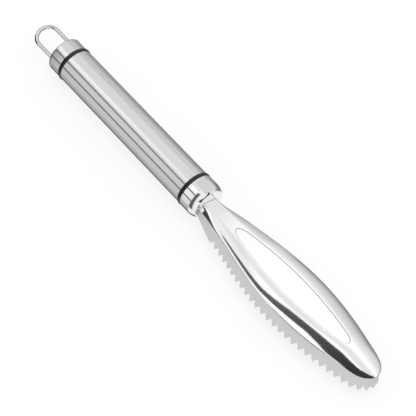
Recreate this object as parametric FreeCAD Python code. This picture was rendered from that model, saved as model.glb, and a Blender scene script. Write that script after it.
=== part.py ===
import FreeCAD, Part
import math
import os

Vector = FreeCAD.Vector

# Fish scaler: a pressed, toothed steel head on a round tube handle with a hanging loop.
# Lengths are in millimetres. X runs along the handle towards the tip of the head, Z is up and the
# teeth point down. The pieces are made round the handle's axis, with the tube's rear end at X = 0.

# Handle tube
TUBE_DIAMETER = 18.0
TUBE_WALL = 0.6
TUBE_LENGTH = 86.0

# Black rings at both ends of the tube, standing a little proud of it
RING_WIDTH = 2.0
RING_DIAMETER = 18.7
RING_CLEARANCE = 0.05

# Spigots that hold the cap and the ferrule in the tube, bored out from their ends
SPIGOT_CLEARANCE = 0.05
SPIGOT_WALL = 1.5
SPIGOT_CHAMFER = 0.6
CAP_SPIGOT_LENGTH = 6.0
FERRULE_SPIGOT_LENGTH = 12.0

# Rear cap, a cup that is open towards the tube
CAP_DIAMETER = 18.0
CAP_LENGTH = 7.6
CAP_END_WALL = 3.4
CAP_EDGE_RADIUS = 1.3

# Hanging loop of round wire, turned about the handle's axis
WIRE_DIAMETER = 1.9
LOOP_LEG_SPACING = 11.0
LOOP_REACH = 18.4
LOOP_SEAT_DEPTH = 2.6
LOOP_TURN_DEG = 30.0
WIRE_CLEARANCE = 0.05

# Ferrule between the handle and the head
FERRULE_DIAMETER = 18.3
FERRULE_LENGTH = 9.2
FERRULE_RIM_LENGTH = 4.0
FERRULE_FACE_DIAMETER = 15.8
POCKET_DEPTH = 7.5
POCKET_CLEARANCE = 0.2

# Pressed head, measured from the ferrule's face. Heights are from the handle's axis.
SHEET = 1.5
NECK_SEAT = 7.0
HEAD_LENGTH = 110.2
HEAD_WIDTH = 31.6
NECK_WIDTH = 10.4
NECK_UNDERSIDE_Z = -4.0
CREASE_Z = 1.0
CREASE_DROP = 2.4
CREASE_DROP_LENGTH = 24.0
SHELL_FULLNESS = 1.25

# Flat top of the head: a strip along the neck that opens into a leaf, rising slightly to the tip
TOP_LENGTH = 92.4
TOP_WIDTH = 14.6
NECK_TOP_WIDTH = 7.0
TOP_Z_AT_NECK = 2.05
TOP_SLOPE_DEG = 0.9

# Leaf-shaped panel coined into the flat top
PANEL_START = 18.4
PANEL_LENGTH = 73.5
PANEL_WIDTH = 13.7
PANEL_DEPTH = 0.12

# Toothed skirt, which hangs from the crease round both sides and the tip
CREASE_STEP = 0.5
SKIRT_FLARE_DEG = 15.5
TOOTH_TIP_Z = -5.7
TOOTHED_LENGTH = 104.0
TOOTH_PITCH = 3.85
TOOTH_DEPTH = 2.4
TOOTH_LAND = 0.3

# Room past a surface for a cut to reach through it, and how close two places are taken as one by
# the cut that hollows the head
OVERCUT = 1.0
CUT_TOLERANCE = 0.02

# Places along the handle, and what the clearances leave
SPIGOT_DIAMETER = TUBE_DIAMETER - 2 * TUBE_WALL - 2 * SPIGOT_CLEARANCE
RING_BORE = SPIGOT_DIAMETER + 2 * RING_CLEARANCE
CAP_FRONT_X = -RING_WIDTH
CAP_REAR_X = CAP_FRONT_X - CAP_LENGTH
FERRULE_REAR_X = TUBE_LENGTH + RING_WIDTH
FACE_X = FERRULE_REAR_X + FERRULE_LENGTH
ROOT_X = FACE_X - NECK_SEAT

# Half plan of the crease and of the flat top from the neck to the tip. Each station gives a place
# along the length and a half-width, as shares of the outline's own length and half-width.
CREASE_STATIONS = [
    (0.21, 0.665), (0.30, 0.807), (0.40, 0.927), (0.545, 1.0), (0.74, 0.872), (0.90, 0.614), (0.975, 0.38),
]
TOP_STATIONS = [
    (0.25, 0.52), (0.345, 0.725), (0.45, 0.89), (0.58, 1.0), (0.775, 0.85), (0.935, 0.53), (0.985, 0.28),
]
PANEL_STATIONS = [
    (0.02, 0.31), (0.06, 0.48), (0.18, 0.715), (0.48, 1.0), (0.73, 0.845), (0.93, 0.496), (0.985, 0.26),
]

# The crease opens from the neck with a nearly straight flare, given by one station on it
NECK_FLARE_X = 12.0
NECK_FLARE_WIDTH = 16.2

# Angles round a quarter turn at which the shell's levels are set between the crease and the top
SHELL_LEVELS_DEG = [0, 25, 50, 70, 90]


def box(x_range, half_width, z_range):
    """A box that lies evenly on both sides of the handle's axis."""
    corner = Vector(x_range[0], -half_width, z_range[0])
    return Part.makeBox(x_range[1] - x_range[0], 2 * half_width, z_range[1] - z_range[0], corner)


def cylinder(diameter, x_range):
    """A round bar on the handle's axis."""
    return Part.makeCylinder(diameter / 2, x_range[1] - x_range[0], Vector(x_range[0], 0, 0), Vector(1, 0, 0))


def straight(points):
    """Straight edges of a half section, with each point given as its X and its radius."""
    vectors = [Vector(x, 0, radius) for x, radius in points]
    return [Part.LineSegment(start, end).toShape() for start, end in zip(vectors, vectors[1:])]


def arc(points):
    """Round edge of a half section, from its start through its middle to its end."""
    vectors = [Vector(x, 0, radius) for x, radius in points]
    return [Part.Arc(*vectors).toShape()]


def turned(edges):
    """A solid turned about the handle's axis from its half section."""
    return Part.Face(Part.Wire(edges)).revolve(Vector(0, 0, 0), Vector(1, 0, 0), 360)


def handle_tube():
    ends = (0, TUBE_LENGTH)
    return cylinder(TUBE_DIAMETER, ends).cut(cylinder(TUBE_DIAMETER - 2 * TUBE_WALL, ends))


def black_ring(rear_x):
    """A ring on a spigot, with a crowned outside that meets the tube's diameter at both edges."""
    front_x = rear_x + RING_WIDTH
    bore = RING_BORE / 2
    edge = TUBE_DIAMETER / 2
    sides = straight([(front_x, edge), (front_x, bore), (rear_x, bore), (rear_x, edge)])
    crown = arc([(rear_x, edge), (rear_x + RING_WIDTH / 2, RING_DIAMETER / 2), (front_x, edge)])
    return turned(sides + crown)


def spigot(shoulder_x, direction, length, bore_end_x):
    """Half section of a bored spigot, from the axis at the bottom of its bore to its shoulder."""
    radius = SPIGOT_DIAMETER / 2
    bore = radius - SPIGOT_WALL
    end_x = shoulder_x + direction * (RING_WIDTH + length)
    return [
        (bore_end_x, 0),
        (bore_end_x, bore),
        (end_x, bore),
        (end_x, radius - SPIGOT_CHAMFER),
        (end_x - direction * SPIGOT_CHAMFER, radius),
        (shoulder_x, radius),
    ]


def leg_offsets():
    """Places of the loop's two legs beside the handle's axis."""
    turn = math.radians(LOOP_TURN_DEG)
    side = Vector(0, math.cos(turn), math.sin(turn)) * (LOOP_LEG_SPACING / 2)
    return [side * -1, side]


def rear_cap():
    radius = CAP_DIAMETER / 2
    soft = CAP_EDGE_RADIUS
    slant = soft * math.sqrt(0.5)
    bore_end_x = CAP_REAR_X + CAP_END_WALL
    front = spigot(CAP_FRONT_X, 1, CAP_SPIGOT_LENGTH, bore_end_x)
    side = [(CAP_FRONT_X, radius), (CAP_REAR_X + soft, radius)]
    edge = arc([
        (CAP_REAR_X + soft, radius),
        (CAP_REAR_X + soft - slant, radius - soft + slant),
        (CAP_REAR_X, radius - soft),
    ])
    rear = straight([(CAP_REAR_X, radius - soft), (CAP_REAR_X, 0), (bore_end_x, 0)])
    holes = []
    for offset in leg_offsets():
        hole = cylinder(WIRE_DIAMETER + 2 * WIRE_CLEARANCE, (CAP_REAR_X - OVERCUT, CAP_REAR_X + LOOP_SEAT_DEPTH))
        holes.append(hole.translated(offset))
    return turned(straight(front + side) + edge + rear).cut(holes)


def hanging_loop():
    """Round wire that runs along one leg, round the bend and back along the other leg."""
    radius = LOOP_LEG_SPACING / 2
    bend_x = CAP_REAR_X - LOOP_REACH + WIRE_DIAMETER / 2 + radius
    seat_x = CAP_REAR_X + LOOP_SEAT_DEPTH - WIRE_CLEARANCE
    first, second = leg_offsets()
    seat, bend = Vector(seat_x, 0, 0), Vector(bend_x, 0, 0)
    path = Part.Wire([
        Part.LineSegment(seat + first, bend + first).toShape(),
        Part.Arc(bend + first, bend - Vector(radius, 0, 0), bend + second).toShape(),
        Part.LineSegment(bend + second, seat + second).toShape(),
    ])
    wire_end = Part.Circle(seat + first, Vector(1, 0, 0), WIRE_DIAMETER / 2)
    return path.makePipeShell([Part.Wire(wire_end.toShape())], True, False)


def ferrule():
    """Turned collar with a bulging rim, a flat face and the pocket that takes the neck."""
    radius = FERRULE_DIAMETER / 2
    face_radius = FERRULE_FACE_DIAMETER / 2
    rim_x = FACE_X - FERRULE_RIM_LENGTH
    fall = radius - face_radius
    rim_radius = (FERRULE_RIM_LENGTH ** 2 + fall ** 2) / (2 * fall)
    middle = math.asin(FERRULE_RIM_LENGTH / rim_radius) / 2
    rear = spigot(FERRULE_REAR_X, -1, FERRULE_SPIGOT_LENGTH, FERRULE_REAR_X)
    side = [(FERRULE_REAR_X, radius), (rim_x, radius)]
    rim = arc([
        (rim_x, radius),
        (rim_x + rim_radius * math.sin(middle), radius - rim_radius * (1 - math.cos(middle))),
        (FACE_X, face_radius),
    ])
    front = straight([(FACE_X, face_radius), (FACE_X, 0), (FERRULE_REAR_X, 0)])
    room = pressed_form(-POCKET_CLEARANCE, TOOTH_TIP_Z)
    pocket_x = (FACE_X - POCKET_DEPTH, FACE_X + OVERCUT)
    pocket = room.common(box(pocket_x, radius, (NECK_UNDERSIDE_Z - POCKET_CLEARANCE, radius)))
    return turned(straight(rear + side) + rim + front).cut(pocket)


def crease_z(x):
    """Height of the crease, which is level under the leaf and falls away along the neck."""
    behind = max(0.0, FACE_X + CREASE_DROP_LENGTH - x)
    return CREASE_Z - CREASE_DROP * (behind / CREASE_DROP_LENGTH) ** 2


def top_z(x):
    return TOP_Z_AT_NECK + math.tan(math.radians(TOP_SLOPE_DEG)) * (x - FACE_X)


def placed(stations, start_x, length, width):
    """Stations of a half plan as places along the handle's axis and half-widths."""
    return [(start_x + along * length, across * width / 2) for along, across in stations]


def horseshoe(half):
    """Points up one side of the head, round the tip and back down the other side."""
    near = [Vector(x, -half_width, 0) for x, half_width in half]
    far = [Vector(x, half_width, 0) for x, half_width in reversed(half[:-1])]
    return near + far


def crease_plan():
    neck = [(FACE_X - POCKET_DEPTH - OVERCUT, NECK_WIDTH / 2), (FACE_X, NECK_WIDTH / 2)]
    flare = [(FACE_X + NECK_FLARE_X, NECK_FLARE_WIDTH / 2)]
    leaf = placed(CREASE_STATIONS + [(1, 0)], FACE_X, HEAD_LENGTH, HEAD_WIDTH)
    return horseshoe(neck + flare + leaf)


def top_plan():
    half_strip = NECK_TOP_WIDTH / 2
    strip = [(x, half_strip) for x in (FACE_X - POCKET_DEPTH - OVERCUT, FACE_X, FACE_X + NECK_FLARE_X)]
    leaf = placed(TOP_STATIONS + [(1, 0)], FACE_X, TOP_LENGTH, TOP_WIDTH)
    return horseshoe(strip + leaf)


def station_knots():
    """Knots shared by every outline, spaced as the stations are along the crease."""
    points = crease_plan()
    knots = [0.0]
    for start, end in zip(points, points[1:]):
        knots.append(knots[-1] + start.distanceToPoint(end))
    return knots


def through(points):
    """Smooth curve through an outline's points."""
    curve = Part.BSplineCurve()
    curve.interpolate(Points=points, Parameters=station_knots())
    return curve


def outward(tangent):
    """Level direction away from the head, square to the direction of travel round an outline."""
    return Vector(tangent.y, -tangent.x, 0).normalize()


def widened(points, distance):
    """An outline moved outwards in plan, or inwards where the distance is below zero."""
    curve = through(points)
    return [
        point + outward(curve.tangent(knot)[0]) * distance
        for point, knot in zip(points, station_knots())
    ]


def raised(points, height):
    """An outline's points in plan, lifted to the height that a function gives at each X."""
    return [Vector(point.x, point.y, height(point.x)) for point in points]


def outline(points):
    """Closed wire of the smooth outline and a straight line across its rear."""
    return Part.Wire([through(points).toShape(), Part.LineSegment(points[-1], points[0]).toShape()])


def skirt_offset(z, depth):
    """How far outside the crease the skirt lies at a height, at a depth inside its surface."""
    flare = math.radians(SKIRT_FLARE_DEG)
    return math.tan(flare) * (CREASE_Z - z) - CREASE_STEP - depth / math.cos(flare)


def pressed_form(depth, lowest_z):
    """Solid bounded by the head's outside, or by the same form at a depth inside it.

    The skirt is ruled from its lower edge up to the crease. A narrow ledge there leads out to the
    foot of the shell, and the shell curves in from its foot to the flat top. A depth below zero
    gives the form with room round it, and the ledge then lies lower by that room."""
    crease = crease_plan()
    ledge_drop = max(0.0, -depth)
    skirt_foot = raised(widened(crease, skirt_offset(lowest_z, depth)), lambda x: lowest_z)
    skirt_head = raised(widened(crease, skirt_offset(CREASE_Z, depth)), lambda x: crease_z(x) - ledge_drop)
    shell_foot = raised(widened(crease, -depth), lambda x: crease_z(x) - ledge_drop)
    shell_head = raised(top_plan(), lambda x: top_z(x) - depth)
    levels = []
    for angle in SHELL_LEVELS_DEG:
        inward = 1 - math.cos(math.radians(angle)) ** SHELL_FULLNESS
        upward = math.sin(math.radians(angle)) ** SHELL_FULLNESS
        level = []
        for foot, head in zip(shell_foot, shell_head):
            rise = head - foot
            level.append(foot + Vector(rise.x * inward, rise.y * inward, rise.z * upward))
        levels.append(outline(level))
    skirt = Part.makeLoft([outline(skirt_foot), outline(skirt_head)], False, True)
    ledge = Part.makeLoft([outline(skirt_head), outline(shell_foot)], False, True)
    shell = Part.makeLoft(levels, False, False)
    caps = [Part.Face(outline(skirt_foot)), Part.Face(outline(shell_head))]
    skin = Part.makeShell(caps + skirt.Faces + ledge.Faces + shell.Faces)
    skin.sewShape()
    return Part.makeSolid(skin)


def tooth_line():
    """Edge along the tips of the teeth, and the distance along it to the tip of the head."""
    tips = raised(widened(crease_plan(), skirt_offset(TOOTH_TIP_Z, 0)), lambda x: TOOTH_TIP_Z)
    edge = through(tips).toShape()
    return edge, edge.Length / 2


def on_tooth_line(edge, distance):
    """Point at a distance along the tooth line, and the direction of travel there."""
    parameter = edge.getParameterByLength(distance)
    return edge.valueAt(parameter), edge.tangentAt(parameter)


def tooth_count():
    """Teeth on each side of the one at the tip of the head."""
    return int(TOOTHED_LENGTH / TOOTH_PITCH)


def notch(point, tangent):
    """V cut between two teeth, square through the skirt."""
    out = outward(tangent)
    half_mouth = (TOOTH_PITCH - TOOTH_LAND) / 2
    reach = math.tan(math.radians(SKIRT_FLARE_DEG)) * TOOTH_DEPTH + SHEET + 2 * OVERCUT
    section = [
        (-half_mouth, -OVERCUT), (-half_mouth, 0), (0, TOOTH_DEPTH), (half_mouth, 0), (half_mouth, -OVERCUT),
    ]
    start = point + out * OVERCUT
    corners = [start + tangent * along + Vector(0, 0, up) for along, up in section]
    return Part.Face(Part.makePolygon(corners + corners[:1])).extrude(out * -reach)


def notches():
    edge, middle = tooth_line()
    cuts = []
    for number in range(tooth_count()):
        for side in (-1, 1):
            point, tangent = on_tooth_line(edge, middle + side * (number + 0.5) * TOOTH_PITCH)
            cuts.append(notch(point, tangent))
    return cuts


def neck_relief():
    """Room under the plain edge, which slopes up from the last tooth to the ferrule's face."""
    edge, middle = tooth_line()
    last_tooth = on_tooth_line(edge, middle - tooth_count() * TOOTH_PITCH - TOOTH_LAND / 2)[0]
    behind_x = FACE_X - POCKET_DEPTH - 2 * OVERCUT
    profile = [
        (last_tooth.x, TOOTH_TIP_Z),
        (FACE_X, NECK_UNDERSIDE_Z),
        (behind_x, NECK_UNDERSIDE_Z),
        (behind_x, TOOTH_TIP_Z - OVERCUT),
        (last_tooth.x, TOOTH_TIP_Z - OVERCUT),
    ]
    corners = [Vector(x, -HEAD_WIDTH, z) for x, z in profile]
    return Part.Face(Part.makePolygon(corners + corners[:1])).extrude(Vector(0, 2 * HEAD_WIDTH, 0))


def panel_recess():
    """Shallow room over the leaf-shaped panel."""
    half = placed(PANEL_STATIONS, FACE_X + PANEL_START, PANEL_LENGTH, PANEL_WIDTH)
    rear, front = (FACE_X + PANEL_START, 0), (FACE_X + PANEL_START + PANEL_LENGTH, 0)
    near = [Vector(x, -half_width, 0) for x, half_width in [rear] + half + [front]]
    far = [Vector(x, half_width, 0) for x, half_width in reversed(half)]
    rim = Part.BSplineCurve()
    rim.interpolate(Points=raised(near + far, lambda x: top_z(x) - PANEL_DEPTH), PeriodicFlag=True)
    return Part.Face(Part.Wire(rim.toShape())).extrude(Vector(0, 0, OVERCUT))


def scaler_head():
    behind_root = box((ROOT_X - 2 * POCKET_DEPTH, ROOT_X), HEAD_WIDTH, (-HEAD_WIDTH, HEAD_WIDTH))
    inside = pressed_form(SHEET, TOOTH_TIP_Z - OVERCUT)
    sheet = pressed_form(0, TOOTH_TIP_Z).cut([behind_root, inside], CUT_TOLERANCE)
    return sheet.cut([neck_relief(), panel_recess()] + notches())


PIECES = {
    "handle_tube": handle_tube(),
    "rear_ring": black_ring(-RING_WIDTH),
    "front_ring": black_ring(TUBE_LENGTH),
    "rear_cap": rear_cap(),
    "hanging_loop": hanging_loop(),
    "ferrule": ferrule(),
    "scaler_head": scaler_head(),
}

# The part's origin is in the middle of its plan, at the height of its lowest point
extent = Part.makeCompound(list(PIECES.values())).optimalBoundingBox(False)
origin = Vector(extent.Center.x, extent.Center.y, extent.ZMin)

os.makedirs("parts", exist_ok=True)
for name, shape in PIECES.items():
    shape.translated(-origin).exportStep(f"parts/{name}.step")
    print(name, len(shape.Solids), shape.isValid(), round(shape.Volume, 1))
print("size", round(extent.XLength, 2), round(extent.YLength, 2), round(extent.ZLength, 2))
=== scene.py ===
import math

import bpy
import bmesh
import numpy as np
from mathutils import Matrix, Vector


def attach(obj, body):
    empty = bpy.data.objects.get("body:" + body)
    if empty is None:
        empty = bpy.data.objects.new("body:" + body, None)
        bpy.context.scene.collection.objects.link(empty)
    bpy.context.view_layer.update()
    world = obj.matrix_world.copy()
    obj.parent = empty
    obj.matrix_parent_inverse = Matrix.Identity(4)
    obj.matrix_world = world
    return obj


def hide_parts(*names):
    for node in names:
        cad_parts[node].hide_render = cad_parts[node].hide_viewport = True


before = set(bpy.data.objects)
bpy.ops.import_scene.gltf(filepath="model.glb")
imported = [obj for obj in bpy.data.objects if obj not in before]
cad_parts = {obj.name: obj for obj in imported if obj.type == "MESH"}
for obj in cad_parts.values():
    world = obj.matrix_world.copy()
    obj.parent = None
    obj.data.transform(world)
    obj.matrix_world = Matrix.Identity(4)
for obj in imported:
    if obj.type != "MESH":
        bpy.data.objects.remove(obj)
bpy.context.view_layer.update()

# %% [markdown]
# # A fish scaler of steel
#
# The scaler is held by a round tube handle and dragged from the tail of a fish to its head. Its
# leaf-shaped head is one pressed sheet: a polished shell on top, and below it a matte skirt whose
# lower edge is cut into teeth. This file builds the look of each piece at its true size and place,
# which the CAD model fixes, then gives it its finish and lights it as a shop photo is lit.
#
# The CAD model is imported first. The next step names the places along the handle that more than one piece
# needs. They are in millimetres, as on a drawing, and each helper turns them into metres, which Blender works
# in.

MM = 0.001

# Places along the handle in millimetres, from the middle of the whole object
AXIS_Z = 9.35
TUBE_REAR_X = -90.379
TUBE_LENGTH = 86.0
TUBE_DIAMETER = 18.0
TUBE_WALL = 0.6
RING_WIDTH = 2.0
RING_DIAMETER = 18.7
TUBE_FRONT_X = TUBE_REAR_X + TUBE_LENGTH
CAP_FRONT_X = TUBE_REAR_X - RING_WIDTH
FERRULE_REAR_X = TUBE_FRONT_X + RING_WIDTH

SPIGOT_CLEARANCE = 0.05
SPIGOT_DIAMETER = TUBE_DIAMETER - 2 * TUBE_WALL - 2 * SPIGOT_CLEARANCE
SPIGOT_WALL = 1.5
SPIGOT_CHAMFER = 0.6

# %% [markdown]
# ## How a turned piece is drawn
#
# The tube, the rings, the cap and the ferrule are all round about one axis, as pieces from a lathe
# are. A lathe follows half a section, so the helper below does the same: it starts from a plane
# merged into one point, extrudes that point along the half section, and spins the line once round the
# handle's axis. An arc gets enough short lines to show as round in a reflection.

# %% Helpers for turned pieces
SPIN_STEPS = 180


def finish_piece(name, smooth_below_deg=28):
    """Merge what meets, point the faces outwards and shade the soft edges smooth."""
    piece = bpy.context.object
    piece.name = name
    bpy.ops.object.mode_set(mode="EDIT")
    bpy.ops.mesh.select_all(action="SELECT")
    bpy.ops.mesh.remove_doubles(threshold=0.001 * MM)
    bpy.ops.mesh.normals_make_consistent(inside=False)
    bpy.ops.object.mode_set(mode="OBJECT")
    bpy.ops.object.transform_apply(location=True, rotation=True, scale=True)
    bpy.ops.object.shade_smooth_by_angle(angle=math.radians(smooth_below_deg))
    return piece


def turned(name, section, closed):
    """A piece spun from a half section, whose points are an X and a radius in millimetres."""
    bpy.ops.object.select_all(action="DESELECT")
    first_x, first_radius = section[0]
    start = (first_x * MM, 0, (AXIS_Z + first_radius) * MM)
    bpy.ops.mesh.primitive_plane_add(size=MM, location=start)
    bpy.ops.object.mode_set(mode="EDIT")
    bpy.ops.mesh.merge(type="CENTER")
    path = section[1:] + (section[:1] if closed else [])
    last_x, last_radius = section[0]
    for x, radius in path:
        step = ((x - last_x) * MM, 0, (radius - last_radius) * MM)
        bpy.ops.mesh.extrude_region_move(TRANSFORM_OT_translate={"value": step})
        last_x, last_radius = x, radius
    bpy.ops.mesh.select_all(action="SELECT")
    bpy.ops.mesh.spin(steps=SPIN_STEPS, angle=2 * math.pi, center=(0, 0, AXIS_Z * MM), axis=(1, 0, 0))
    bpy.ops.object.mode_set(mode="OBJECT")
    return finish_piece(name)


def rounded(centre, radius, start_deg, end_deg, count=12):
    """Points along an arc of a half section."""
    points = []
    for step in range(count + 1):
        angle = math.radians(start_deg + (end_deg - start_deg) * step / count)
        points.append((centre[0] + radius * math.cos(angle), centre[1] + radius * math.sin(angle)))
    return points


def spigot(shoulder_x, direction, length, bore_end_x):
    """Half section of a bored spigot, from the axis at the end of its bore to its shoulder."""
    radius = SPIGOT_DIAMETER / 2
    end_x = shoulder_x + direction * length
    return [
        (bore_end_x, 0),
        (bore_end_x, radius - SPIGOT_WALL),
        (end_x, radius - SPIGOT_WALL),
        (end_x, radius - SPIGOT_CHAMFER),
        (end_x - direction * SPIGOT_CHAMFER, radius),
        (shoulder_x, radius),
    ]


print("a full turn of the lathe is drawn in", SPIN_STEPS, "steps")

# %% [markdown]
# ## The handle tube
#
# Stainless tube, cut to length and brushed on a belt while it turns. It is a plain ring section spun
# round the axis, with a small break on its outer edges, where the two black rings meet it.

# %% Handle tube
EDGE_BREAK = 0.1
tube_radius = TUBE_DIAMETER / 2
tube = turned("brushed_tube", [
    (TUBE_REAR_X, tube_radius - TUBE_WALL),
    (TUBE_REAR_X, tube_radius - EDGE_BREAK),
    (TUBE_REAR_X + EDGE_BREAK, tube_radius),
    (TUBE_FRONT_X - EDGE_BREAK, tube_radius),
    (TUBE_FRONT_X, tube_radius - EDGE_BREAK),
    (TUBE_FRONT_X, tube_radius - TUBE_WALL),
], closed=True)
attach(tube, "root")
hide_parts("handle_tube")
print("the tube has", len(tube.data.polygons), "faces")

# %% [markdown]
# ## The two black rings
#
# Each ring is turned from black plastic and slides over a spigot. Its outside is crowned, so it meets
# the tube's diameter at both edges and stands 0.35 mm proud in the middle. One ring is modelled, and
# its copy is moved to the other end of the tube in edit mode, so that both stay at the same origin.

# %% Rings
RING_CLEARANCE = 0.05
ring_bore_radius = SPIGOT_DIAMETER / 2 + RING_CLEARANCE
crown_rise = (RING_DIAMETER - TUBE_DIAMETER) / 2
crown_radius = ((RING_WIDTH / 2) ** 2 + crown_rise ** 2) / (2 * crown_rise)
crown_centre = (CAP_FRONT_X + RING_WIDTH / 2, RING_DIAMETER / 2 - crown_radius)
crown_half_deg = math.degrees(math.asin(RING_WIDTH / 2 / crown_radius))
rear_ring = turned("black_ring_rear", [
    (TUBE_REAR_X, ring_bore_radius),
    (CAP_FRONT_X, ring_bore_radius),
] + rounded(crown_centre, crown_radius, 90 + crown_half_deg, 90 - crown_half_deg), closed=True)

bpy.ops.object.duplicate()
front_ring = bpy.context.object
front_ring.name = "black_ring_front"
bpy.ops.object.mode_set(mode="EDIT")
bpy.ops.mesh.select_all(action="SELECT")
bpy.ops.transform.translate(value=((FERRULE_REAR_X - TUBE_REAR_X) * MM, 0, 0))
bpy.ops.object.mode_set(mode="OBJECT")
for ring, node in ((rear_ring, "rear_ring"), (front_ring, "front_ring")):
    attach(ring, "root")
    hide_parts(node)
print("the crown's radius is", round(crown_radius, 2), "mm")

# %% [markdown]
# ## The rear cap
#
# A short cup from the lathe. Its spigot goes through the ring into the tube, its outside matches the
# tube, and its rear edge is rounded to 1.3 mm. Two blind holes are drilled into its rear face for the
# ends of the wire: two round bars are placed there and taken out of it with a boolean.

# %% Sizes of the cap and the loop
CAP_LENGTH = 7.6
CAP_SPIGOT_LENGTH = 6.0
CAP_END_WALL = 3.4
CAP_EDGE_RADIUS = 1.3
CAP_REAR_X = CAP_FRONT_X - CAP_LENGTH
WIRE_DIAMETER = 1.9
WIRE_CLEARANCE = 0.05
WIRE_SIDES = 48
LOOP_LEG_SPACING = 11.0
LOOP_REACH = 18.4
LOOP_SEAT_DEPTH = 2.6
LOOP_TURN_DEG = 30.0
loop_turn = math.radians(LOOP_TURN_DEG)
leg_side = Vector((0, math.cos(loop_turn), math.sin(loop_turn))) * (LOOP_LEG_SPACING / 2)
print("the cap's rear face is at x", round(CAP_REAR_X, 2), "mm")

# %% Rear cap
cap_spigot = spigot(CAP_FRONT_X, 1, RING_WIDTH + CAP_SPIGOT_LENGTH, CAP_REAR_X + CAP_END_WALL)
cap_edge_centre = (CAP_REAR_X + CAP_EDGE_RADIUS, tube_radius - CAP_EDGE_RADIUS)
cap = turned("turned_cap", cap_spigot + [
    (CAP_FRONT_X, tube_radius - EDGE_BREAK),
    (CAP_FRONT_X - EDGE_BREAK, tube_radius),
] + rounded(cap_edge_centre, CAP_EDGE_RADIUS, 90, 180) + [
    (CAP_REAR_X, 0),
], closed=False)
print("the cap has", len(cap.data.polygons), "faces")

# %% Blind holes for the wire
BAR_EXCESS = 1.0


def carve(piece, cutter, name):
    """Take the cutter's shape out of the piece and clear the cutter away."""
    bpy.ops.object.select_all(action="DESELECT")
    bpy.context.view_layer.objects.active = piece
    piece.select_set(True)
    cut = piece.modifiers.new("cut", "BOOLEAN")
    cut.object = cutter
    cut.solver = "EXACT"
    bpy.ops.object.modifier_apply(modifier=cut.name)
    bpy.data.objects.remove(cutter)
    return finish_piece(name)


bar_x = CAP_REAR_X + (LOOP_SEAT_DEPTH - BAR_EXCESS) / 2
for side in (-1, 1):
    bar_place = Vector((bar_x, 0, AXIS_Z)) + leg_side * side
    bpy.ops.mesh.primitive_cylinder_add(
        vertices=WIRE_SIDES, radius=(WIRE_DIAMETER / 2 + WIRE_CLEARANCE) * MM,
        depth=(LOOP_SEAT_DEPTH + BAR_EXCESS) * MM, location=bar_place * MM, rotation=(0, math.pi / 2, 0))
    cap = carve(cap, bpy.context.object, "turned_cap")
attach(cap, "root")
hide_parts("rear_cap")
print("with its two holes, the cap has", len(cap.data.polygons), "faces")

# %% [markdown]
# ## The hanging loop
#
# Round stainless wire, bent once to a U, with both ends set into the cap. A disc is extruded along
# the first leg, spun half a turn about the middle of the bend, and extruded back along the second leg,
# in the order in which the wire itself would be bent. So each leg is straight and the bend is round.

# %% Hanging loop
LEG_PARTS = 8
BEND_STEPS = 64
bend_radius = LOOP_LEG_SPACING / 2
bend_x = CAP_REAR_X - LOOP_REACH + WIRE_DIAMETER / 2 + bend_radius
bend_axis = Vector((-1, 0, 0)).cross(leg_side.normalized())
seat_x = CAP_REAR_X + LOOP_SEAT_DEPTH - WIRE_CLEARANCE
seat = Vector((seat_x, 0, AXIS_Z)) - leg_side
leg_step = (bend_x - seat_x) * MM / LEG_PARTS
bpy.ops.object.select_all(action="DESELECT")
bpy.ops.mesh.primitive_circle_add(
    vertices=WIRE_SIDES, radius=WIRE_DIAMETER / 2 * MM, fill_type="NGON",
    location=seat * MM, rotation=(0, math.pi / 2, 0))
bpy.ops.object.mode_set(mode="EDIT")
bpy.ops.mesh.select_all(action="SELECT")
for part in range(LEG_PARTS):
    bpy.ops.mesh.extrude_region_move(TRANSFORM_OT_translate={"value": (leg_step, 0, 0)})
bpy.ops.mesh.spin(
    steps=BEND_STEPS, angle=-math.pi, center=(bend_x * MM, 0, AXIS_Z * MM), axis=bend_axis)
for part in range(LEG_PARTS):
    bpy.ops.mesh.extrude_region_move(TRANSFORM_OT_translate={"value": (-leg_step, 0, 0)})
bpy.ops.object.mode_set(mode="OBJECT")
loop = finish_piece("wire_loop")
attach(loop, "root")
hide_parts("hanging_loop")
print("the loop has", len(loop.data.polygons), "faces")

# %% [markdown]
# ## The outlines of the pressed head
#
# No primitive is near the form of a pressed leaf, so its mesh is worked out from its outlines, as a
# press tool is. Each outline is a horseshoe: up one side of the head, round the tip and back down the
# other side. It is a smooth curve through a few stations, which give a place along the head and a
# half-width. The crease, where the shell turns down into the skirt, and the edge of the flat top are
# such outlines, and all others are one of these moved sideways and lifted.

# %% Outlines of the head
FERRULE_LENGTH = 9.2
NECK_SEAT = 7.0
FACE_X = FERRULE_REAR_X + FERRULE_LENGTH
ROOT_X = FACE_X - NECK_SEAT
SHEET = 1.5
HEAD_LENGTH = 110.2
HEAD_WIDTH = 31.6
TOP_LENGTH = 92.4
TOP_WIDTH = 14.6
NECK_WIDTH = 10.4
NECK_TOP_WIDTH = 7.0
NECK_FLARE_X = 12.0
NECK_FLARE_WIDTH = 16.2
CURVE_START = 8.5

CREASE_STATIONS = [
    (0.21, 0.665), (0.30, 0.807), (0.40, 0.927), (0.545, 1.0),
    (0.74, 0.872), (0.90, 0.614), (0.975, 0.38), (1, 0),
]
TOP_STATIONS = [
    (0.25, 0.52), (0.345, 0.725), (0.45, 0.89), (0.58, 1.0),
    (0.775, 0.85), (0.935, 0.53), (0.985, 0.28), (1, 0),
]


def horseshoe(neck, stations, length, width):
    """Stations up one side, round the tip and back, as rows of X and Y in millimetres."""
    half = neck + [(FACE_X + along * length, across * width / 2) for along, across in stations]
    near = [(x, -half_width) for x, half_width in half]
    far = [(x, half_width) for x, half_width in reversed(half[:-1])]
    return np.array(near + far)


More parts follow.
